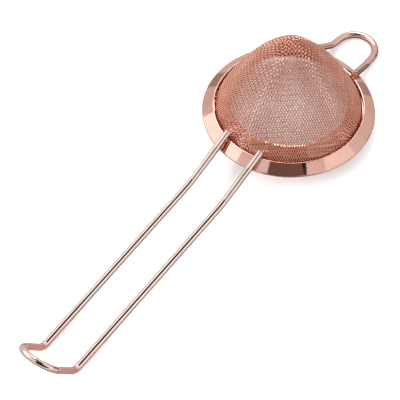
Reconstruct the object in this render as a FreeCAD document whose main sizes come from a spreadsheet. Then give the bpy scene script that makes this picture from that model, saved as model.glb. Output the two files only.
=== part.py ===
import FreeCAD, Part
import math
import os
import Sketcher
from FreeCAD import Placement, Rotation, Vector

# Small cone strainer of plated stainless steel: a dished rim, a woven mesh cone, one bent wire as
# a long handle and one bent wire as a rest loop. Millimetres and degrees.
#
# Ring frame, in which every piece is drawn: Z is the axis of the cone with its tip up, Z = 0 is
# the plane of the rim's rolled outer edge, -Y runs along the handle, and X = 0 is the mirror plane.
# Row frame, in which the pieces are handed over: the strainer stands on a table with its tip up,
# on the two lower bends of the handle and the end of the rest loop, with the origin under the
# middle of its box. One Placement takes every piece from the first frame to the second.

SIZES = {
    # rim
    "rim_radius": 42.0,
    "rim_sheet": 0.5,
    "edge_roll": 0.6,
    "flange_width": 5.95,
    "flange_slope": 35.0,
    "lip_roll": 0.45,
    "collar_foot": 0.5,
    # ring that clamps the edge of the mesh inside the rim
    "clamp_sheet": 0.5,
    "clamp_rise": 0.6,
    "clamp_hem": 0.5,
    "clamp_slope": 45.0,
    "clamp_top": 7.2,
    # mesh cone
    "mesh_thickness": 0.9,
    "mesh_seat": 1.3,
    "mesh_side_radius": 124.0,
    "mesh_tip_radius": 6.3,
    "mesh_apex": 49.9,
    # wire of the handle and of the rest loop
    "wire_diameter": 3.4,
    # handle
    "handle_half_gap": 9.9,
    "handle_end": 34.0,
    "handle_end_lift": 7.0,
    "rim_bend_reach": 42.7,
    "rim_bend_lift": 3.0,
    "rim_bend_radius": 8.0,
    "drop_bend_reach": 63.2,
    "drop_bend_fall": 5.7,
    "drop_bend_radius": 30.0,
    "hook_bend_reach": 166.6,
    "hook_bend_fall": 26.2,
    "hook_bend_radius": 5.5,
    "hook_rise": 50.5,
    "hook_leg": 15.4,
    # rest loop
    "loop_end_half_gap": 13.3,
    "loop_end": 34.2,
    "loop_end_lift": 5.95,
    "loop_bend_half_gap": 10.5,
    "loop_bend_reach": 48.1,
    "loop_fall": 0.7,
    "loop_bend_radius": 6.0,
    "loop_radius": 9.9,
    "loop_centre": 53.6,
    # weld pads between the wires and the flange
    "weld_width": 2.6,
    "weld_length": 4.0,
    "weld_depth": 5.1,
    "handle_weld_gap": 2.6,
    "loop_weld_gap": 0.9,
}

doc = FreeCAD.newDocument("cone_strainer")
sheet = doc.addObject("Spreadsheet::Sheet", "Sizes")
for row, (alias, number) in enumerate(SIZES.items(), start=1):
    sheet.set(f"A{row}", alias)
    sheet.set(f"B{row}", str(number))
    sheet.setAlias(f"B{row}", alias)
doc.recompute()


def cell(text):
    """The expression with each alias in it turned into a reference to its cell."""
    return " ".join(f"Sizes.{word}" if word in SIZES else word for word in text.split())


def value(text):
    return float(sheet.evalExpression(cell(text)))


# How often the lean is corrected before both ends rest on the table.
LEAN_PASSES = 4
# The solids that shape the welds reach this far below and above Z = 0, and past the pads' ends.
CONE_BELOW = 2
CONE_ABOVE = 6
CUT_MARGIN = 1

# Places on the rim's outline that several pieces share.
SIN = "sin( flange_slope * 1 deg )"
COS = "cos( flange_slope * 1 deg )"
EDGE_R = "( rim_radius - edge_roll )"
LIP_R = f"( rim_radius - edge_roll + ( edge_roll - lip_roll ) * {SIN} - flange_width * {COS} )"
LIP_Z = f"( ( edge_roll - lip_roll ) * {COS} + flange_width * {SIN} )"
COLLAR_R = f"( {LIP_R} - lip_roll )"


def bind(owner, constraint, text):
    """Adds a constraint to a sketch, with a value that follows the sheet."""
    index = owner.addConstraint(constraint)
    owner.setExpression(f"Constraints[{index}]", cell(text))


def place_point(sketch, edge, end, radius, height):
    """Ties one end of an edge to a radius and a height, both expressions."""
    for kind, text, axis in (("DistanceX", radius, -2), ("DistanceY", height, -1)):
        if value(text) == 0:
            sketch.addConstraint(Sketcher.Constraint("PointOnObject", edge, end, axis))
        else:
            bind(sketch, Sketcher.Constraint(kind, -1, 1, edge, end, value(text)), text)


def arc_between(centre, first, last):
    """The anticlockwise arc about a centre from one point to another."""
    circle = Part.Circle(centre, Vector(0, 0, 1), (first - centre).Length)
    angles = [math.atan2(end.y - centre.y, end.x - centre.x) for end in (first, last)]
    return Part.ArcOfCircle(circle, *angles)


def outline_sketch(label):
    """A new body with an empty sketch on the plane through its axis."""
    body = doc.addObject("PartDesign::Body", label)
    sketch = body.newObject("Sketcher::SketchObject", f"{label}_outline")
    upright = next(item for item in body.Origin.OriginFeatures if item.Role == "XZ_Plane")
    sketch.AttachmentSupport = (upright, "")
    sketch.MapMode = "FlatFace"
    return body, sketch


def revolve(body, sketch):
    turn = body.newObject("PartDesign::Revolution", f"{body.Label}_turn")
    turn.Profile = sketch
    turn.ReferenceAxis = (sketch, ["V_Axis"])
    turn.Angle = 360
    body.Tip = turn
    return body


def ring(label, outline):
    """A revolved body from a closed outline of (radius, height, arc).

    arc is None where a straight edge leads to the next point. Otherwise it is the centre of a
    clockwise arc to the next point.
    """
    body, sketch = outline_sketch(label)
    corners = [Vector(value(radius), value(height), 0) for radius, height, _ in outline]
    count = len(outline)
    starts = []
    stops = []
    for index, (_, _, arc) in enumerate(outline):
        here = corners[index]
        following = corners[(index + 1) % count]
        if arc is None:
            sketch.addGeometry(Part.LineSegment(here, following), False)
        else:
            centre = Vector(value(arc[0]), value(arc[1]), 0)
            sketch.addGeometry(arc_between(centre, following, here), False)
        starts.append(1 if arc is None else 2)
        stops.append(2 if arc is None else 1)
    for index, (radius, height, arc) in enumerate(outline):
        after = (index + 1) % count
        sketch.addConstraint(Sketcher.Constraint("Coincident", index, stops[index], after, starts[after]))
        place_point(sketch, index, starts[index], radius, height)
        if arc is not None:
            bind(sketch, Sketcher.Constraint("Radius", index, value(arc[2])), arc[2])
    return revolve(body, sketch)


def make_rim():
    """Stamped sheet: an upright collar, a lip rolled over its top, a steep flange and a rolled edge."""
    under = "( edge_roll - rim_sheet )"
    chord = f"sqrt( edge_roll * edge_roll - {under} * {under} )"
    outer_r = f"( {COLLAR_R} + rim_sheet )"
    rise = f"( {LIP_R} + ( lip_roll - rim_sheet ) * {SIN} - {outer_r} )"
    under_z = f"{LIP_Z} + ( lip_roll - rim_sheet ) * {COS} + {rise} * tan( flange_slope * 1 deg )"
    return ring("rim_flange", [
        (COLLAR_R, "collar_foot", None),
        (COLLAR_R, LIP_Z, (LIP_R, LIP_Z, "lip_roll")),
        (f"{LIP_R} + lip_roll * {SIN}", f"{LIP_Z} + lip_roll * {COS}", None),
        (f"{EDGE_R} + edge_roll * {SIN}", f"edge_roll * {COS}", (EDGE_R, "0", "edge_roll")),
        (f"{EDGE_R} + {under} * {SIN} - {chord} * {COS}", f"{under} * {COS} + {chord} * {SIN}", None),
        (outer_r, under_z, None),
        (outer_r, "collar_foot", None),
    ])


def make_clamp_ring():
    """Hemmed ring that holds the mesh against the collar.

    Its hem covers the cut edges, its wall presses on the mesh and its band slopes up inside the cone.
    """
    outer = f"( {COLLAR_R} - mesh_thickness )"
    inner = f"( {outer} - clamp_sheet )"
    hem = f"( {COLLAR_R} + rim_sheet )"
    wall_top = "( collar_foot + clamp_rise )"
    slant = "( clamp_sheet / sin( clamp_slope * 1 deg ) )"
    bend = f"{wall_top} - ( {slant} - clamp_sheet ) * tan( clamp_slope * 1 deg )"
    band_r = f"( {outer} - ( clamp_top - {wall_top} ) / tan( clamp_slope * 1 deg ) )"
    return ring("rim_clamp_ring", [
        (inner, "collar_foot - clamp_hem", None),
        (inner, bend, None),
        (f"{band_r} - {slant}", "clamp_top", None),
        (band_r, "clamp_top", None),
        (outer, wall_top, None),
        (outer, "collar_foot", None),
        (hem, "collar_foot", None),
        (hem, "collar_foot - clamp_hem", None),
    ])


def make_mesh():
    """The woven cone as one thin closed shell: a short skirt, a bulging side and a rounded tip."""
    body, sketch = outline_sketch("mesh_basket")
    skirt = value(COLLAR_R)
    seat = value("mesh_seat")
    bottom = value("collar_foot")
    thickness = value("mesh_thickness")
    side = value("mesh_side_radius")
    tip = value("mesh_tip_radius")
    apex = value("mesh_apex")
    # The side's centre is side from the seat, and side - tip from the centre of the tip.
    base = Vector(skirt, seat, 0)
    tip_centre = Vector(0, apex - tip, 0)
    span = tip_centre - base
    along = (side ** 2 - (side - tip) ** 2 + span.Length ** 2) / (2 * span.Length)
    across = math.sqrt(side ** 2 - along ** 2)
    ahead = span.normalize()
    side_centre = base + ahead * along + Vector(-ahead.y, ahead.x, 0) * across
    outward = (tip_centre - side_centre).normalize()
    join = tip_centre + outward * tip
    inner_join = tip_centre + outward * (tip - thickness)
    inner_skirt = skirt - thickness
    height = math.sqrt((side - thickness) ** 2 - (inner_skirt - side_centre.x) ** 2)
    inner_base = Vector(inner_skirt, side_centre.y + height, 0)
    top = Vector(0, apex, 0)
    inner_top = Vector(0, apex - thickness, 0)
    foot = Vector(skirt, bottom, 0)
    inner_foot = Vector(inner_skirt, bottom, 0)
    for edge in (
        Part.LineSegment(foot, base),
        arc_between(side_centre, base, join),
        arc_between(tip_centre, join, top),
        Part.LineSegment(top, inner_top),
        arc_between(tip_centre, inner_join, inner_top),
        arc_between(side_centre, inner_base, inner_join),
        Part.LineSegment(inner_base, inner_foot),
        Part.LineSegment(inner_foot, foot),
    ):
        sketch.addGeometry(edge, False)
    for pair in ((0, 2, 1, 1), (2, 2, 3, 1), (3, 2, 4, 2), (5, 1, 6, 1), (6, 2, 7, 1), (7, 2, 0, 1)):
        sketch.addConstraint(Sketcher.Constraint("Coincident", *pair))
    sketch.addConstraint(Sketcher.Constraint("Tangent", 1, 2, 2, 1))
    sketch.addConstraint(Sketcher.Constraint("Tangent", 5, 2, 4, 1))
    sketch.addConstraint(Sketcher.Constraint("Coincident", 1, 3, 5, 3))
    sketch.addConstraint(Sketcher.Constraint("PointOnObject", 2, 3, -2))
    sketch.addConstraint(Sketcher.Constraint("PointOnObject", 4, 3, -2))
    sketch.addConstraint(Sketcher.Constraint("Vertical", 6))
    place_point(sketch, 0, 1, COLLAR_R, "collar_foot")
    place_point(sketch, 0, 2, COLLAR_R, "mesh_seat")
    place_point(sketch, 2, 2, "0", "mesh_apex")
    place_point(sketch, 4, 2, "0", "mesh_apex - mesh_thickness")
    place_point(sketch, 6, 2, f"{COLLAR_R} - mesh_thickness", "collar_foot")
    bind(sketch, Sketcher.Constraint("Radius", 1, side), "mesh_side_radius")
    bind(sketch, Sketcher.Constraint("Radius", 2, tip), "mesh_tip_radius")
    bind(sketch, Sketcher.Constraint("Radius", 5, side - thickness), "mesh_side_radius - mesh_thickness")
    return revolve(body, sketch)


def bent_leg(points, radii):
    """Edges along the points, with a tangent arc of the given radius at each inner point."""
    edges = []
    start = points[0]
    for before, corner, after, radius in zip(points, points[1:], points[2:], radii):
        back = (before - corner).normalize()
        ahead = (after - corner).normalize()
        half = back.getAngle(ahead) / 2
        reach = radius / math.tan(half)
        middle = corner + (back + ahead).normalize() * (radius / math.sin(half) - radius)
        entry = corner + back * reach
        leave = corner + ahead * reach
        edges.append(Part.LineSegment(start, entry).toShape())
        edges.append(Part.Arc(entry, middle, leave).toShape())
        start = leave
    edges.append(Part.LineSegment(start, points[-1]).toShape())
    return edges


def wire_path(label, leg, radii, crown):
    """The centreline of a wire that is the same on both sides of X = 0, joined over a crown."""
    turned = [Vector(-point.x, point.y, point.z) for point in leg]
    over = Part.Arc(leg[-1], crown, turned[-1]).toShape()
    back = bent_leg(turned, radii)
    path = doc.addObject("Part::Feature", f"{label}_path")
    path.Shape = Part.Wire(bent_leg(leg, radii) + [over] + back[::-1])
    return path


def swept_wire(label, path, start, ahead):
    """A round wire swept along its path. The section follows the sheet."""
    section = doc.addObject("Part::Circle", f"{label}_section")
    section.setExpression("Radius", cell("wire_diameter / 2"))
    section.Placement = Placement(start, Rotation(Vector(0, 0, 1), ahead))
    sweep = doc.addObject("Part::Sweep", label)
    sweep.Sections = [section]
    sweep.Spine = (path, [f"Edge{index + 1}" for index in range(len(path.Shape.Edges))])
    sweep.Solid = True
    sweep.Frenet = False
    return sweep


HANDLE_X = value("handle_half_gap")
HANDLE_LEG = [
    Vector(-HANDLE_X, -value("handle_end"), value("handle_end_lift")),
    Vector(-HANDLE_X, -value("rim_bend_reach"), value("rim_bend_lift")),
    Vector(-HANDLE_X, -value("drop_bend_reach"), -value("drop_bend_fall")),
    Vector(-HANDLE_X, -value("hook_bend_reach"), -value("hook_bend_fall")),
]
LOOP_LEG = [
    Vector(-value("loop_end_half_gap"), value("loop_end"), value("loop_end_lift")),
    Vector(-value("loop_bend_half_gap"), value("loop_bend_reach"), -value("loop_fall")),
]


def make_handle():
    """Two long rods from the rim to a hook that turns up and over at the far end."""
    rise = math.radians(value("hook_rise"))
    up_hook = Vector(0, -math.cos(rise), math.sin(rise))
    tip = HANDLE_LEG[-1] + up_hook * value("hook_leg")
    crown = Vector(0, tip.y, tip.z) + up_hook * HANDLE_X
    radii = [value(f"{name}_bend_radius") for name in ("rim", "drop", "hook")]
    path = wire_path("handle_rod", HANDLE_LEG + [tip], radii, crown)
    return swept_wire("handle_rod", path, HANDLE_LEG[0], HANDLE_LEG[1] - HANDLE_LEG[0])


def make_rest_loop():
    """Two short legs from the rim that level out into a round loop."""
    radius = value("loop_radius")
    centre = Vector(0, value("loop_centre"), -value("loop_fall"))
    bend = LOOP_LEG[-1]
    reach = (bend - centre).Length
    turn = math.atan2(bend.y - centre.y, bend.x) - math.acos(radius / reach)
    touch = centre + Vector(math.cos(turn), math.sin(turn), 0) * radius
    crown = centre + Vector(0, radius, 0)
    path = wire_path("rest_loop_rod", LOOP_LEG + [touch], [value("loop_bend_radius")], crown)
    return swept_wire("rest_loop_rod", path, LOOP_LEG[0], LOOP_LEG[1] - LOOP_LEG[0])


def make_cone_under_flange():
    """A solid cone whose side is the flange's upper face. It shapes the underside of each weld."""
    cone = doc.addObject("Part::Cone", "cone_under_flange")
    wide = f"( {EDGE_R} + edge_roll / {SIN} )"
    cone.setExpression("Radius1", cell(f"{wide} + {CONE_BELOW} / tan( flange_slope * 1 deg )"))
    cone.setExpression("Radius2", cell(f"{wide} - {CONE_ABOVE} / tan( flange_slope * 1 deg )"))
    cone.Height = CONE_BELOW + CONE_ABOVE
    cone.Placement.Base = Vector(0, 0, -CONE_BELOW)
    return cone


def make_weld(label, cone, end, bend, gap):
    """A pad of weld metal that fills the space between a wire and the flange below it.

    It starts the given distance back from the wire's cut end.
    """
    along = (bend - end).normalize()
    turn = Rotation(Vector(along.y, -along.x, 0), Vector(along.x, along.y, along.z), Vector(0, 0, 1), "YXZ")
    block = doc.addObject("Part::Box", f"{label}_block")
    block.setExpression("Length", cell("weld_width"))
    block.setExpression("Width", cell("weld_length"))
    block.setExpression("Height", cell("weld_depth"))
    corner = Vector(-value("weld_width") / 2, gap, -value("weld_depth"))
    block.Placement = Placement(end + turn.multVec(corner), turn)
    rod = doc.addObject("Part::Cylinder", f"{label}_rod")
    rod.setExpression("Radius", cell("wire_diameter / 2"))
    rod.Height = gap + value("weld_length") + 2 * CUT_MARGIN
    rod.Placement = Placement(end - along * CUT_MARGIN, Rotation(Vector(0, 0, 1), along))
    upper = doc.addObject("Part::Cut", f"{label}_under_rod")
    upper.Base = block
    upper.Tool = rod
    weld = doc.addObject("Part::Cut", label)
    weld.Base = upper
    weld.Tool = cone
    return weld


def box_when(pieces, placement):
    """The box round some pieces once they have this placement."""
    box = FreeCAD.BoundBox()
    for piece in pieces:
        shape = piece.Shape.copy()
        shape.transformShape(placement.toMatrix(), True)
        box.add(shape.optimalBoundingBox(False))
    return box


def row_placement(handle, loop, pieces):
    """Stands the strainer on its hook bends and its rest loop, with the origin under its middle."""
    length = value("hook_bend_reach + loop_centre + loop_radius")
    lean = 0
    for _ in range(LEAN_PASSES):
        leaned = Placement(Vector(), Rotation(Vector(1, 0, 0), -lean))
        lift = box_when([loop], leaned).ZMin - box_when([handle], leaned).ZMin
        lean += math.degrees(math.atan(lift / length))
    leaned = Placement(Vector(), Rotation(Vector(1, 0, 0), -lean))
    box = box_when(pieces, leaned)
    leaned.Base = Vector(-box.Center.x, -box.Center.y, -box.ZMin)
    print("lean", round(lean, 3), "base", leaned.Base)
    return leaned


mirrored = {"left": 1, "right": -1}
rim = make_rim()
clamp = make_clamp_ring()
mesh = make_mesh()
handle = make_handle()
loop = make_rest_loop()
cone = make_cone_under_flange()
welds = []
for joint, leg in (("handle", HANDLE_LEG), ("loop", LOOP_LEG)):
    for side, sign in mirrored.items():
        end, bend = [Vector(point.x * sign, point.y, point.z) for point in leg[:2]]
        gap = value(f"{joint}_weld_gap")
        welds.append(make_weld(f"{joint}_weld_{side}", cone, end, bend, gap))
pieces = [rim, clamp, mesh, handle, loop] + welds
doc.recompute()

standing = row_placement(handle, loop, pieces)
for piece in pieces:
    piece.Placement = standing
doc.recompute()

for item in doc.Objects:
    if {"Invalid", "Error"} & set(item.State):
        raise RuntimeError(f"{item.Label} did not rebuild")
for piece in pieces:
    if piece.Shape.isNull() or not piece.Shape.isValid():
        raise RuntimeError(f"{piece.Label} has no valid shape")
    print(piece.Label, len(piece.Shape.Solids), round(piece.Shape.Volume, 2))

os.makedirs("parts", exist_ok=True)
for piece in pieces:
    piece.Shape.exportStep(f"parts/{piece.Label}.step")
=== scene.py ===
import math

import bmesh
import bpy
import numpy as np
from mathutils import Matrix, Vector


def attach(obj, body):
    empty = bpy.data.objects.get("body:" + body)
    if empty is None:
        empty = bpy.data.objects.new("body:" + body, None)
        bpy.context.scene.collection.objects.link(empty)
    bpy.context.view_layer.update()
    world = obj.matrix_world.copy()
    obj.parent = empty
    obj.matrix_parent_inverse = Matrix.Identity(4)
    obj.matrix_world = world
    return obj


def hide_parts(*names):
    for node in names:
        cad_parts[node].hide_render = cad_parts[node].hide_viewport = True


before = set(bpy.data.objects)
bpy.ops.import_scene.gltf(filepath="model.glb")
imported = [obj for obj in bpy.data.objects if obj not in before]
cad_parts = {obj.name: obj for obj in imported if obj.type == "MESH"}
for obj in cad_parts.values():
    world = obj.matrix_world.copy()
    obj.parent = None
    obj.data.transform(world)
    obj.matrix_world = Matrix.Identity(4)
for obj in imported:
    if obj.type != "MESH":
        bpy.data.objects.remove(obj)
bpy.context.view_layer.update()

# A small cone strainer of rose-gold plated steel, standing tip up on a pale floor.
#
# Shapes are worked out in the ring frame of the CAD model, in millimetres: Z is the axis of the
# cone with its tip up, Z = 0 is the plane of the rim's rolled edge and -Y runs along the handle.
# RING takes them to the frame of the whole object, in metres.

LEAN = math.radians(6.259)
RING_BASE = Vector((0, 59.643, 9.318))
RING = Matrix.Scale(0.001, 4) @ Matrix.Translation(RING_BASE) @ Matrix.Rotation(-LEAN, 4, "X")

# rim
RIM_RADIUS = 42.0
RIM_SHEET = 0.5
EDGE_ROLL = 0.6
FLANGE_WIDTH = 5.95
FLANGE_SLOPE = math.radians(35)
LIP_ROLL = 0.45
COLLAR_FOOT = 0.5
EDGE_R = RIM_RADIUS - EDGE_ROLL
LIP_R = EDGE_R + (EDGE_ROLL - LIP_ROLL) * math.sin(FLANGE_SLOPE) - FLANGE_WIDTH * math.cos(FLANGE_SLOPE)
LIP_Z = (EDGE_ROLL - LIP_ROLL) * math.cos(FLANGE_SLOPE) + FLANGE_WIDTH * math.sin(FLANGE_SLOPE)
COLLAR_R = LIP_R - LIP_ROLL
LATHE_STEPS = 288
OUTLINE_STEP = math.radians(12)
FLAT_MARGIN = 0.1

# ring that clamps the edge of the mesh
CLAMP_SHEET = 0.5
CLAMP_RISE = 0.6
CLAMP_HEM = 0.5
CLAMP_SLOPE = math.radians(45)
CLAMP_TOP = 7.2

# mesh cone: outer profile, and the weave of two wires over each other
MESH_THICKNESS = 0.9
MESH_SEAT = 1.3
SIDE_RADIUS = 124.0
TIP_RADIUS = 6.3
APEX = 49.9
WEAVE_WIRE = 0.5
WEAVE_PITCH = 1.45
WEAVE_SIDES = 6
WEAVE_END_Z = COLLAR_FOOT + 0.1
WEAVE_SHARP = math.radians(80)
SHORTEST_WIRE = 3
CRIMP = (MESH_THICKNESS - WEAVE_WIRE) / 2

# search for the place where a turned line meets the cone: first angle, tries and closeness
FIRST_TURN = -0.05
SEARCH_TRIES = 20
CLOSE = 1e-9
SAME_HEIGHT = 1e-12

# wire of the handle and of the rest loop
WIRE_RADIUS = 1.7
WIRE_SIDES = 40
ARC_STEP = math.radians(3)
CUT_CHAMFER = 0.18

HANDLE_X = 9.9
HANDLE_LEG = [(34.0, 7.0), (42.7, 3.0), (63.2, -5.7), (166.6, -26.2)]
HANDLE_BEND_RADII = [8.0, 30.0, 5.5]
HOOK_RISE = math.radians(50.5)
HOOK_LEG = 15.4

LOOP_END = (13.3, 34.2, 5.95)
LOOP_BEND = (10.5, 48.1, -0.7)
LOOP_BEND_RADIUS = 6.0
LOOP_RADIUS = 9.9
LOOP_CENTRE = 53.6

# welds: how far each starts from the wire's cut end, and how deep it bites into both pieces
WELD_WIDTH = 2.6
WELD_LENGTH = 4.0
WELD_BITE = 0.45
HANDLE_WELD_GAP = 2.6
LOOP_WELD_GAP = 0.9
WELD_SEGMENTS = 32

# edges that bend by more than this are shaded sharp, except on the woven wires
PIECE_SHARP = math.radians(40)

# plating: clouds, polish and waves in features per metre, and the depth of the waves in metres
CLOUDS = 120
CLOUD_EDGES = (0.35, 0.65)
POLISH = 900
WAVES = 350
WAVE_DEPTH = 0.0002
NOISE_MIDDLE = (0.3, 0.7)

# camera
CAMERA_AZIMUTH = math.radians(45.62)
CAMERA_ELEVATION = math.radians(56.37)
CAMERA_ROLL = math.radians(-6.854)
CAMERA_AIM = Vector((0.00507, -0.01233, 0.02134))
CAMERA_DISTANCE = 0.88411
CAMERA_LENS = 171.18
CAMERA_NEAR = 0.01
SENSOR = 36.0

# floor
FLOOR_SIZE = 6
FLOOR_TONES = (0.93, 0.96)
FLOOR_CLOUDS = 3
FLOOR_ROUGHNESS = 0.9

# light: colour of the tent at each height, from -1 straight down to 1 straight up
TENT = [
    (-1.0, (0.10, 0.07, 0.06)),
    (-0.6, (0.16, 0.12, 0.11)),
    (-0.4, (0.64, 0.56, 0.53)),
    (0.1, (0.62, 0.57, 0.55)),
    (0.5, (0.70, 0.67, 0.66)),
    (1.0, (0.72, 0.70, 0.70)),
]
TENT_STRENGTH = 1.1

# lamps: name, place, width and height, power in watts, and whether reflections show the lamp
LAMPS = [
    ("left_front", (-0.74, -0.39, 0.63), (1.05, 0.78), 1.8, True),
    ("right", (0.94, 0.25, 0.52), (1.0, 0.85), 0.65, True),
    ("back", (-0.45, 0.55, 0.95), (0.5, 0.45), 4.0, True),
    ("overhead", (0, 0, 1.3), (1.6, 1.6), 6, False),
    ("camera_side", (0.53, -0.46, 0.68), (0.2, 0.2), 4, False),
    ("left_fill", (-0.35, -0.55, 0.45), (0.5, 0.5), 4, False),
]
LAMP_AIM = Vector((0, 0, 0.02))

# cards that only reflections show: name, colour, the axis each is square to, where it crosses that
# axis, and its corners along the other two axes. handle_sky and hook_floor are brighter than what
# they cover, and the rest are darker.
CARDS = [
    ("camera_gap", (0.17, 0.11, 0.10), "Z", 0.85,
     [(0.10, -0.85), (0.535, -0.85), (0.535, -0.10), (0.10, -0.10)]),
    ("overhead_gap", (0.017, 0.009, 0.009), "Z", 0.85,
     [(-0.24, -0.10), (0.535, -0.10), (0.535, 0.33), (-0.24, 0.33)]),
    ("front_gap", (0.04, 0.02, 0.02), "Z", 0.30,
     [(0.08, -0.95), (0.95, -0.95), (0.95, -0.05), (0.36, -0.05), (0.22, -0.11), (0.08, -0.17)]),
    ("hook_floor", (0.58, 0.33, 0.29), "Z", 0.0003,
     [(-0.03, -0.135), (0.03, -0.135), (0.03, -0.09), (-0.03, -0.09)]),
    ("handle_sky", (1.05, 1.05, 1.05), "Z", 0.30,
     [(-0.60, 0.02), (-0.08, -0.03), (-0.08, 0.13), (-0.60, 0.20)]),
    ("right_gap", (0.22, 0.14, 0.13), "Y", 0.9,
     [(0.75, 0.30), (0.29, 0.06), (0.10, -0.07), (0.02, -0.12), (0.02, -0.30), (0.75, -0.40)]),
    ("far_gap", (0.44, 0.38, 0.39), "Y", 0.9,
     [(0.02, -0.03), (-0.12, -0.04), (-0.12, -0.22), (0.02, -0.22)]),
    ("left_gap", (0.41, 0.32, 0.28), "X", -0.85,
     [(0.32, -0.12), (0.50, -0.12), (0.50, 0.04), (0.32, 0.04)]),
]


# ---------------------------------------------------------------- materials

def new_material(name):
    material = bpy.data.materials.new(name)
    material.use_nodes = True
    tree = material.node_tree
    tree.nodes.clear()
    output = tree.nodes.new("ShaderNodeOutputMaterial")
    shader = tree.nodes.new("ShaderNodeBsdfPrincipled")
    tree.links.new(shader.outputs["BSDF"], output.inputs["Surface"])
    return material, tree, shader


def noise(tree, scale, detail=2.0):
    """Noise over the object's own coordinates. Its scale is in features per metre."""
    place = tree.nodes.new("ShaderNodeTexCoord")
    texture = tree.nodes.new("ShaderNodeTexNoise")
    texture.inputs["Scale"].default_value = scale
    texture.inputs["Detail"].default_value = detail
    tree.links.new(place.outputs["Object"], texture.inputs["Vector"])
    return texture.outputs["Fac"]


def spread(tree, source, low, high):
    """A noise's middle range as a number from low to high."""
    ranged = tree.nodes.new("ShaderNodeMapRange")
    ranged.inputs["From Min"].default_value = NOISE_MIDDLE[0]
    ranged.inputs["From Max"].default_value = NOISE_MIDDLE[1]
    ranged.inputs["To Min"].default_value = low
    ranged.inputs["To Max"].default_value = high
    tree.links.new(source, ranged.inputs["Value"])
    return ranged.outputs["Result"]


def plated(name, tints, roughness, bump):
    """Polished plating: cloudy tint, uneven polish, and a faint waviness of the metal."""
    material, tree, shader = new_material(name)
    shader.inputs["Metallic"].default_value = 1.0
    ramp = tree.nodes.new("ShaderNodeValToRGB")
    for element, tint, edge in zip(ramp.color_ramp.elements, tints, CLOUD_EDGES):
        element.color = (*tint, 1)
        element.position = edge
    tree.links.new(noise(tree, CLOUDS, 4), ramp.inputs["Fac"])
    tree.links.new(ramp.outputs["Color"], shader.inputs["Base Color"])
    polish = spread(tree, noise(tree, POLISH, 3), *roughness)
    tree.links.new(polish, shader.inputs["Roughness"])
    waves = tree.nodes.new("ShaderNodeBump")
    waves.inputs["Strength"].default_value = bump
    waves.inputs["Distance"].default_value = WAVE_DEPTH
    tree.links.new(noise(tree, WAVES), waves.inputs["Height"])
    tree.links.new(waves.outputs["Normal"], shader.inputs["Normal"])
    return material


def floor_paint():
    material, tree, shader = new_material("pale_floor")
    shader.inputs["Roughness"].default_value = FLOOR_ROUGHNESS
    ramp = tree.nodes.new("ShaderNodeValToRGB")
    for element, tone in zip(ramp.color_ramp.elements, FLOOR_TONES):
        element.color = (tone, tone, tone, 1)
    tree.links.new(noise(tree, FLOOR_CLOUDS), ramp.inputs["Fac"])
    tree.links.new(ramp.outputs["Color"], shader.inputs["Base Color"])
    return material


RIM_PLATING = plated("rim_plating", ((0.84, 0.50, 0.41), (0.88, 0.56, 0.47)), (0.03, 0.07), 0.03)
# the handle and the loop are the same plating: the handle's tint is painted paler, a painted highlight
# for the light on the long rods, and the loop's is painted darker, painted shade
HANDLE_PLATING_PAINTED_LIGHT = plated("handle_plating_painted_light", ((0.89, 0.72, 0.66), (0.93, 0.78, 0.72)), (0.03, 0.06), 0.03)
LOOP_PLATING_PAINTED_SHADE = plated("loop_plating_painted_shade", ((0.80, 0.53, 0.45), (0.84, 0.58, 0.50)), (0.03, 0.06), 0.03)
MESH_PLATING = plated("mesh_plating", ((0.92, 0.50, 0.38), (1.00, 0.60, 0.48)), (0.03, 0.07), 0.05)
WELD_PLATING = plated("weld_plating", ((0.66, 0.36, 0.28), (0.86, 0.54, 0.44)), (0.16, 0.40), 0.40)


# ---------------------------------------------------------------- building meshes

def add_piece(name, points, faces, material, nodes, sharp=PIECE_SHARP):
    """A mesh piece from ring-frame points that rides on the frame and stands for CAD nodes."""
    mesh = bpy.data.meshes.new(name)
    mesh.from_pydata([tuple(point) for point in points], [], faces)
    mesh.transform(RING)
    mesh.polygons.foreach_set("use_smooth", [True] * len(mesh.polygons))
    mesh.set_sharp_from_angle(angle=sharp)
    mesh.materials.append(material)
    mesh.update()
    piece = bpy.data.objects.new(name, mesh)
    bpy.context.scene.collection.objects.link(piece)
    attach(piece, "root")
    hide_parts(*nodes)


def arc(centre, radius, first, last):
    """Points of an arc in the plane of radius and height, from one angle to another, in radians."""
    count = max(2, math.ceil(abs(last - first) / OUTLINE_STEP))
    angles = np.linspace(first, last, count + 1)
    return [(centre[0] + radius * math.cos(a), centre[1] + radius * math.sin(a)) for a in angles]


def lathe(outline):
    """Points and faces of a closed outline of (radius, height) turned about Z."""
    turns = np.arange(LATHE_STEPS) * 2 * math.pi / LATHE_STEPS
    radius, height = np.array(outline).T
    points = np.stack([
        np.outer(np.cos(turns), radius),
        np.outer(np.sin(turns), radius),
        np.tile(height, (LATHE_STEPS, 1)),
    ], axis=-1).reshape(-1, 3)
    return points, tube_faces(LATHE_STEPS, len(outline), True)


def held_flat(start, stop):
    """Two points just inside the ends of a straight run, so that shading keeps the run flat."""
    ahead = Vector(stop) - Vector(start)
    ahead = ahead.normalized() * FLAT_MARGIN
    return [tuple(Vector(start) + ahead), tuple(Vector(stop) - ahead)]


def tube_faces(rings, sides, closed):
    """Quads between neighbouring rings of points. A closed tube joins its last ring to its first."""
    faces = []
    for ring in range(rings if closed else rings - 1):
        here = ring * sides
        there = (ring + 1) % rings * sides
        for side in range(sides):
            after = (side + 1) % sides
            faces.append((here + side, here + after, there + after, there + side))
    return faces


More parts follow.
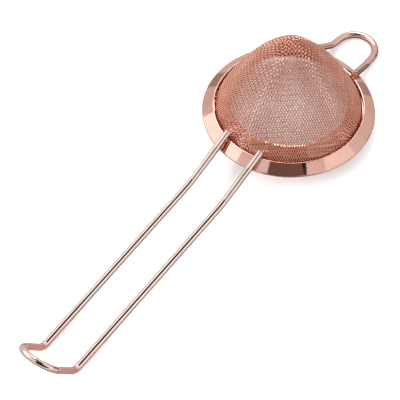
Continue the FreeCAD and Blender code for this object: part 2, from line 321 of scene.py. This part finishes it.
def bent_path(points, radii):
    """A path through the points, with a tangent arc of the given radius at each inner point."""
    path = [points[0]]
    for before, corner, after, radius in zip(points, points[1:], points[2:], radii):
        back = (before - corner).normalized()
        ahead = (after - corner).normalized()
        half = back.angle(ahead) / 2
        centre = corner + (back + ahead).normalized() * radius / math.sin(half)
        entry = corner + back * radius / math.tan(half) - centre
        axis = entry.cross(ahead)
        turn = math.pi - 2 * half
        count = max(2, math.ceil(turn / ARC_STEP))
        for index in range(count + 1):
            path.append(centre + Matrix.Rotation(turn * index / count, 3, axis) @ entry)
    path.append(points[-1])
    return path


def mirrored_path(leg, radius, centre, up):
    """A leg, an arc about the centre to the other side, and the leg's mirror image backwards."""
    last = leg[-1]
    start = math.atan2((last - centre).dot(up), last.x)
    count = math.ceil((math.pi - 2 * start) / ARC_STEP)
    path = list(leg)
    for index in range(1, count):
        angle = start + (math.pi - 2 * start) * index / count
        side = Vector((math.cos(angle), 0, 0))
        path.append(centre + (side + up * math.sin(angle)) * radius)
    path += [Vector((-point.x, point.y, point.z)) for point in reversed(leg)]
    return path


def rod(path, radius, sides, chamfer):
    """Points and faces of a round rod along a path, with its cut ends slightly chamfered."""
    points = [Vector(point) for point in path]
    first = (points[1] - points[0]).normalized()
    last = (points[-1] - points[-2]).normalized()
    near = [points[0], points[0] + first * chamfer]
    far = [points[-1] - last * chamfer, points[-1]]
    points = near + points[1:-1] + far
    radii = [radius - chamfer] + [radius] * (len(points) - 2) + [radius - chamfer]
    rings = []
    normal = first.orthogonal().normalized()
    for index, point in enumerate(points):
        before = points[max(index - 1, 0)]
        after = points[min(index + 1, len(points) - 1)]
        along = (after - before).normalized()
        normal = (normal - along * normal.dot(along)).normalized()
        across = along.cross(normal)
        for side in range(sides):
            angle = 2 * math.pi * side / sides
            offset = normal * math.cos(angle) + across * math.sin(angle)
            rings.append(point + offset * radii[index])
    faces = tube_faces(len(points), sides, False)
    faces.append(tuple(range(sides))[::-1])
    faces.append(tuple(range(len(rings) - sides, len(rings))))
    return rings, faces


# ---------------------------------------------------------------- rim and clamp ring

def make_rim():
    """Stamped sheet: upright collar, rolled lip, steep flange and a rolled outer edge."""
    under = EDGE_ROLL - RIM_SHEET
    upper = math.pi / 2 - FLANGE_SLOPE
    lower = upper - 2 * math.pi + math.acos(under / EDGE_ROLL)
    outer_r = COLLAR_R + RIM_SHEET
    inside = LIP_ROLL - RIM_SHEET
    rise = LIP_R + inside * math.sin(FLANGE_SLOPE) - outer_r
    under_z = LIP_Z + inside * math.cos(FLANGE_SLOPE) + rise * math.tan(FLANGE_SLOPE)
    outline = [(COLLAR_R, COLLAR_FOOT)]
    lip = arc((LIP_R, LIP_Z), LIP_ROLL, math.pi, upper)
    edge = arc((EDGE_R, 0), EDGE_ROLL, upper, lower)
    outline += lip + held_flat(lip[-1], edge[0]) + edge
    outline += [(outer_r, under_z), (outer_r, COLLAR_FOOT)]
    points, faces = lathe(outline)
    add_piece("rim_flange_sheet", points, faces, RIM_PLATING, ["rim_flange"])


def make_clamp_ring():
    """Hemmed ring that presses the mesh against the collar, with a band that slopes up inside."""
    outer = COLLAR_R - MESH_THICKNESS
    inner = outer - CLAMP_SHEET
    hem = COLLAR_R + RIM_SHEET
    bottom = COLLAR_FOOT - CLAMP_HEM
    fold = CLAMP_HEM / 2
    wall_top = COLLAR_FOOT + CLAMP_RISE
    slant = CLAMP_SHEET / math.sin(CLAMP_SLOPE)
    bend = wall_top - (slant - CLAMP_SHEET) * math.tan(CLAMP_SLOPE)
    band_r = outer - (CLAMP_TOP - wall_top) / math.tan(CLAMP_SLOPE)
    outline = [(outer, COLLAR_FOOT), (outer, wall_top)]
    outline += held_flat((outer, wall_top), (band_r, CLAMP_TOP))
    outline += [(band_r, CLAMP_TOP), (band_r - slant, CLAMP_TOP)]
    outline += held_flat((band_r - slant, CLAMP_TOP), (inner, bend))
    outline += [(inner, bend)]
    outline += arc((inner + fold, bottom + fold), fold, math.pi, 1.5 * math.pi)
    outline += arc((hem - fold, bottom + fold), fold, -math.pi / 2, math.pi / 2)
    points, faces = lathe(outline[::-1])
    add_piece("clamp_ring_hem", points, faces, RIM_PLATING, ["rim_clamp_ring"])


# ---------------------------------------------------------------- handle and rest loop

def make_handle():
    """Two long rods from the rim to a hook that turns up and over at the far end."""
    up = Vector((0, -math.cos(HOOK_RISE), math.sin(HOOK_RISE)))
    corners = [Vector((HANDLE_X, -reach, lift)) for reach, lift in HANDLE_LEG]
    corners.append(corners[-1] + up * HOOK_LEG)
    leg = bent_path(corners, HANDLE_BEND_RADII)
    centre = Vector((0, corners[-1].y, corners[-1].z))
    path = mirrored_path(leg, HANDLE_X, centre, up)
    points, faces = rod(path, WIRE_RADIUS, WIRE_SIDES, CUT_CHAMFER)
    add_piece("handle_wire", points, faces, HANDLE_PLATING_PAINTED_LIGHT, ["handle_rod"])


def make_rest_loop():
    """Two short legs from the rim that level out into a round loop."""
    centre = Vector((0, LOOP_CENTRE, LOOP_BEND[2]))
    bend = Vector(LOOP_BEND)
    reach = (bend - centre).length
    turn = math.atan2(bend.y - centre.y, bend.x) + math.acos(LOOP_RADIUS / reach)
    touch = centre + Vector((math.cos(turn), math.sin(turn), 0)) * LOOP_RADIUS
    leg = bent_path([Vector(LOOP_END), bend, touch], [LOOP_BEND_RADIUS])
    path = mirrored_path(leg, LOOP_RADIUS, centre, Vector((0, 1, 0)))
    points, faces = rod(path, WIRE_RADIUS, WIRE_SIDES, CUT_CHAMFER)
    add_piece("rest_loop_wire", points, faces, LOOP_PLATING_PAINTED_SHADE, ["rest_loop_rod"])


# ---------------------------------------------------------------- welds

def make_weld(node, end, bend, gap):
    """A smooth nugget of weld metal between a wire and the upper face of the flange."""
    along = (bend - end).normalized()
    place = end + along * (gap + WELD_LENGTH / 2)
    radius = math.hypot(place.x, place.y)
    out = Vector((place.x / radius, place.y / radius, 0)) * math.sin(FLANGE_SLOPE)
    out.z = math.cos(FLANGE_SLOPE)
    height = (radius - EDGE_R) * math.sin(FLANGE_SLOPE) + place.z * math.cos(FLANGE_SLOPE) - EDGE_ROLL
    space = height - WIRE_RADIUS
    across = along.cross(out).normalized()
    turn = Matrix((across, out.cross(across), out)).transposed()
    centre = place - out * (WIRE_RADIUS + space / 2)
    half_size = Vector((WELD_WIDTH / 2, WELD_LENGTH / 2, space / 2 + WELD_BITE))
    ball = bmesh.new()
    bmesh.ops.create_uvsphere(ball, u_segments=WELD_SEGMENTS, v_segments=WELD_SEGMENTS // 2, radius=1)
    points = [centre + turn @ (vertex.co * half_size) for vertex in ball.verts]
    faces = [[vertex.index for vertex in face.verts] for face in ball.faces]
    ball.free()
    add_piece(f"{node}_nugget", points, faces, WELD_PLATING, [node])


def make_welds():
    handle = [Vector((HANDLE_X, -reach, lift)) for reach, lift in HANDLE_LEG[:2]]
    loop = [Vector(LOOP_END), Vector(LOOP_BEND)]
    for name, leg, gap in (("handle", handle, HANDLE_WELD_GAP), ("loop", loop, LOOP_WELD_GAP)):
        for side, sign in (("left", -1), ("right", 1)):
            end, bend = [Vector((point.x * sign, point.y, point.z)) for point in leg]
            make_weld(f"{name}_weld_{side}", end, bend, gap)


# ---------------------------------------------------------------- woven mesh

class ConeProfile:
    """The middle surface of the mesh: a skirt, a bulging side and a round tip, turned about Z."""

    def __init__(self):
        base = np.array([COLLAR_R, MESH_SEAT])
        self.tip = np.array([0, APEX - TIP_RADIUS])
        span = self.tip - base
        length = np.linalg.norm(span)
        along = (SIDE_RADIUS ** 2 - (SIDE_RADIUS - TIP_RADIUS) ** 2 + length ** 2) / (2 * length)
        across = math.sqrt(SIDE_RADIUS ** 2 - along ** 2)
        ahead = span / length
        self.side = base + ahead * along + np.array([-ahead[1], ahead[0]]) * across
        self.tip_radius = TIP_RADIUS - MESH_THICKNESS / 2
        self.side_radius = SIDE_RADIUS - MESH_THICKNESS / 2
        self.skirt_radius = COLLAR_R - MESH_THICKNESS / 2
        join = self.tip - self.side
        self.join_angle = math.atan2(join[1], join[0])

    def offset(self, point):
        """How far a point is outside the surface, and the direction straight out from it."""
        radius = math.hypot(point[0], point[1])
        flat = np.array([radius, point[2]])
        from_side = flat - self.side
        angle = math.atan2(from_side[1], from_side[0])
        if angle > self.join_angle:
            away = flat - self.tip
            limit = self.tip_radius
        elif point[2] < MESH_SEAT:
            away = np.array([radius, 0])
            limit = self.skirt_radius
        else:
            away = from_side
            limit = self.side_radius
        length = math.hypot(away[0], away[1])
        out_r, out_z = away / length
        if radius < CLOSE:
            return length - limit, np.array([0, 0, 1.0])
        return length - limit, np.array([out_r * point[0] / radius, out_r * point[1] / radius, out_z])

    def onto(self, point):
        """The nearest point on the surface."""
        far, out = self.offset(point)
        return point - out * far


def unit(vector):
    return vector / np.linalg.norm(vector)


def turned_onto(profile, centre, first, second):
    """The point centre + first * cos(a) + second * sin(a) that lies on the surface, for a near 0."""
    def height(angle):
        return profile.offset(centre + first * math.cos(angle) + second * math.sin(angle))[0]

    before, after = 0.0, FIRST_TURN
    low, high = height(before), height(after)
    for _ in range(SEARCH_TRIES):
        if abs(high - low) < SAME_HEIGHT or abs(high) < CLOSE:
            break
        before, after, low = after, after - high * (after - before) / (high - low), high
        high = height(after)
    return centre + first * math.cos(after) + second * math.sin(after)


def weave_quadrant(profile):
    """Crossings of a square cloth draped over a quarter of the cone, one pitch apart along each wire.

    The cloth shears instead of stretching, so it stays square only along the X and Y directions.
    """
    crossings = {(0, 0): np.array([0, 0, APEX - MESH_THICKNESS / 2])}
    reach = 0
    while crossings[(reach, 0)][2] > WEAVE_END_Z:
        here = crossings[(reach, 0)]
        down = unit(here - crossings[(reach - 1, 0)]) if reach else np.array([1.0, 0, 0])
        sideways = np.array([down[2], 0, -down[0]])
        found = turned_onto(profile, here, down * WEAVE_PITCH, sideways * WEAVE_PITCH)
        reach += 1
        crossings[(reach, 0)] = found
        crossings[(0, reach)] = np.array([0, found[0], found[2]])
    for row in range(1, reach + 1):
        for column in range(1, reach + 1):
            corner = crossings.get((row - 1, column - 1))
            left = crossings.get((row - 1, column))
            right = crossings.get((row, column - 1))
            if corner is None or left is None or right is None or corner[2] < WEAVE_END_Z:
                break
            middle = (left + right) / 2
            across = unit(right - left)
            ahead = middle - corner
            ahead = unit(ahead - across * ahead.dot(across))
            width = math.sqrt(WEAVE_PITCH ** 2 - (right - left).dot(right - left) / 4)
            crossings[(row, column)] = turned_onto(
                profile, middle, ahead * width, np.cross(across, ahead) * width)
    return crossings


def weave_line(crossings, line, along_x):
    """The crossings of one wire, from one end of the cloth to the other."""
    def key(step):
        return (step, abs(line)) if along_x else (abs(line), step)

    found = []
    while key(len(found)) in crossings:
        found.append(crossings[key(len(found))])
    if not found:
        return []
    other = 1 if along_x else 0
    side = np.ones(3)
    side[other] = math.copysign(1, line)
    flip = np.ones(3)
    flip[1 - other] = -1
    half = [point * side for point in found]
    return [point * flip for point in half[:0:-1]] + half


def crimped(profile, nodes, line, first_step, over):
    """A wire that passes over and under the crossings by turns, cut off at the cloth's edge.

    It has two points in each gap, a quarter of the way from the crossing on either side.
    """
    path = []
    for index, (here, there) in enumerate(zip(nodes, nodes[1:])):
        up = over if (index + first_step + line) % 2 == 0 else -over
        for share, rise in ((0.25, 1), (0.75, -1)):
            point = profile.onto(here * (1 - share) + there * share)
            out = profile.offset(point)[1]
            path.append((point + out * rise * up * CRIMP, out))
    return [(point, out) for point, out in path if point[2] > WEAVE_END_Z]


def weave_family(profile, crossings, along_x, over):
    """Points and faces of all the wires that run one way."""
    points = []
    faces = []
    reach = max(row for row, _ in crossings)
    angles = np.arange(WEAVE_SIDES) * 2 * math.pi / WEAVE_SIDES
    for line in range(-reach, reach + 1):
        nodes = weave_line(crossings, line, along_x)
        if len(nodes) < SHORTEST_WIRE:
            continue
        wire = crimped(profile, nodes, line, -(len(nodes) // 2), over)
        if len(wire) < SHORTEST_WIRE:
            continue
        path = np.array([point for point, _ in wire])
        out = np.array([normal for _, normal in wire])
        along = np.gradient(path, axis=0)
        along /= np.linalg.norm(along, axis=1, keepdims=True)
        across = np.cross(along, out)
        across /= np.linalg.norm(across, axis=1, keepdims=True)
        out = np.cross(across, along)
        rings = path[:, None] + WEAVE_WIRE / 2 * (
            out[:, None] * np.cos(angles)[:, None] + across[:, None] * np.sin(angles)[:, None])
        start = len(points)
        points.extend(rings.reshape(-1, 3).tolist())
        count = len(path)
        for face in tube_faces(count, WEAVE_SIDES, False):
            faces.append(tuple(start + corner for corner in face))
        faces.append(tuple(start + side for side in range(WEAVE_SIDES))[::-1])
        end = start + (count - 1) * WEAVE_SIDES
        faces.append(tuple(end + side for side in range(WEAVE_SIDES)))
    return points, faces


def make_mesh():
    profile = ConeProfile()
    crossings = weave_quadrant(profile)
    for name, along_x, over in (("mesh_weft_wires", True, 1), ("mesh_warp_wires", False, -1)):
        points, faces = weave_family(profile, crossings, along_x, over)
        add_piece(name, points, faces, MESH_PLATING, ["mesh_basket"], WEAVE_SHARP)


# ---------------------------------------------------------------- stage, light and camera

def make_floor():
    """A pale floor, kept out of reflections: the metal reflects the dim room below it instead."""
    bpy.ops.mesh.primitive_plane_add(size=FLOOR_SIZE)
    floor = bpy.context.object
    floor.name = "floor"
    floor.data.materials.append(floor_paint())
    floor.visible_glossy = False


def softbox(name, place, size, power, reflected):
    """A rectangular lamp that the camera does not see. It may also be kept out of reflections."""
    light = bpy.data.lights.new(name, "AREA")
    light.shape = "RECTANGLE"
    light.size, light.size_y = size
    light.energy = power
    lamp = bpy.data.objects.new(name, light)
    bpy.context.scene.collection.objects.link(lamp)
    lamp.location = place
    lamp.rotation_euler = (Vector(place) - LAMP_AIM).to_track_quat("Z", "Y").to_euler()
    lamp.visible_camera = False
    lamp.visible_glossy = reflected


def card(name, glow, axis, place, corners):
    """A flat card that only reflections show, shining evenly in one colour, dark or bright."""
    across = "XYZ".index(axis)
    points = [(*corner[:across], place, *corner[across:]) for corner in corners]
    mesh = bpy.data.meshes.new(name)
    mesh.from_pydata(points, [], [tuple(range(len(points)))])
    material, _, shader = new_material(name)
    shader.inputs["Base Color"].default_value = (0, 0, 0, 1)
    shader.inputs["Specular IOR Level"].default_value = 0.0
    shader.inputs["Emission Color"].default_value = (*glow, 1)
    shader.inputs["Emission Strength"].default_value = 1.0
    mesh.materials.append(material)
    sheet = bpy.data.objects.new(name, mesh)
    bpy.context.scene.collection.objects.link(sheet)
    sheet.visible_camera = False
    sheet.visible_diffuse = False
    sheet.visible_shadow = False
    sheet.visible_transmission = False


def make_world():
    """A pale tent that reaches some way below the horizon, and a dim room under it."""
    world = bpy.data.worlds.new("tent")
    world.use_nodes = True
    bpy.context.scene.world = world
    tree = world.node_tree
    place = tree.nodes.new("ShaderNodeTexCoord")
    split = tree.nodes.new("ShaderNodeSeparateXYZ")
    tree.links.new(place.outputs["Generated"], split.inputs["Vector"])
    upward = tree.nodes.new("ShaderNodeMapRange")
    upward.inputs["From Min"].default_value = -1.0
    tree.links.new(split.outputs["Z"], upward.inputs["Value"])
    ramp = tree.nodes.new("ShaderNodeValToRGB")
    stops = ramp.color_ramp.elements
    while len(stops) < len(TENT):
        stops.new(0.5)
    for stop, (height, colour) in zip(stops, TENT):
        stop.position = (height + 1) / 2
        stop.color = (*colour, 1)
    tree.links.new(upward.outputs["Result"], ramp.inputs["Fac"])
    tree.links.new(ramp.outputs["Color"], tree.nodes["Background"].inputs["Color"])
    tree.nodes["Background"].inputs["Strength"].default_value = TENT_STRENGTH


def make_camera():
    level = Vector((math.cos(CAMERA_AZIMUTH), math.sin(CAMERA_AZIMUTH), 0))
    back = Vector((math.sin(CAMERA_AZIMUTH), -math.cos(CAMERA_AZIMUTH), 0)) * math.cos(CAMERA_ELEVATION)
    back.z = math.sin(CAMERA_ELEVATION)
    turn = Matrix((level, back.cross(level), back)).transposed() @ Matrix.Rotation(CAMERA_ROLL, 3, "Z")
    camera = bpy.data.objects.new("camera", bpy.data.cameras.new("camera"))
    bpy.context.scene.collection.objects.link(camera)
    camera.data.lens = CAMERA_LENS
    camera.data.sensor_width = SENSOR
    camera.data.clip_start = CAMERA_NEAR
    camera.matrix_world = Matrix.Translation(CAMERA_AIM + back * CAMERA_DISTANCE) @ turn.to_4x4()
    bpy.context.scene.camera = camera


make_rim()
make_clamp_ring()
make_handle()
make_rest_loop()
make_mesh()
make_welds()

make_floor()
make_world()
for lamp_values in LAMPS:
    softbox(*lamp_values)
for card_values in CARDS:
    card(*card_values)
make_camera()
bpy.context.scene.view_settings.view_transform = "Standard"
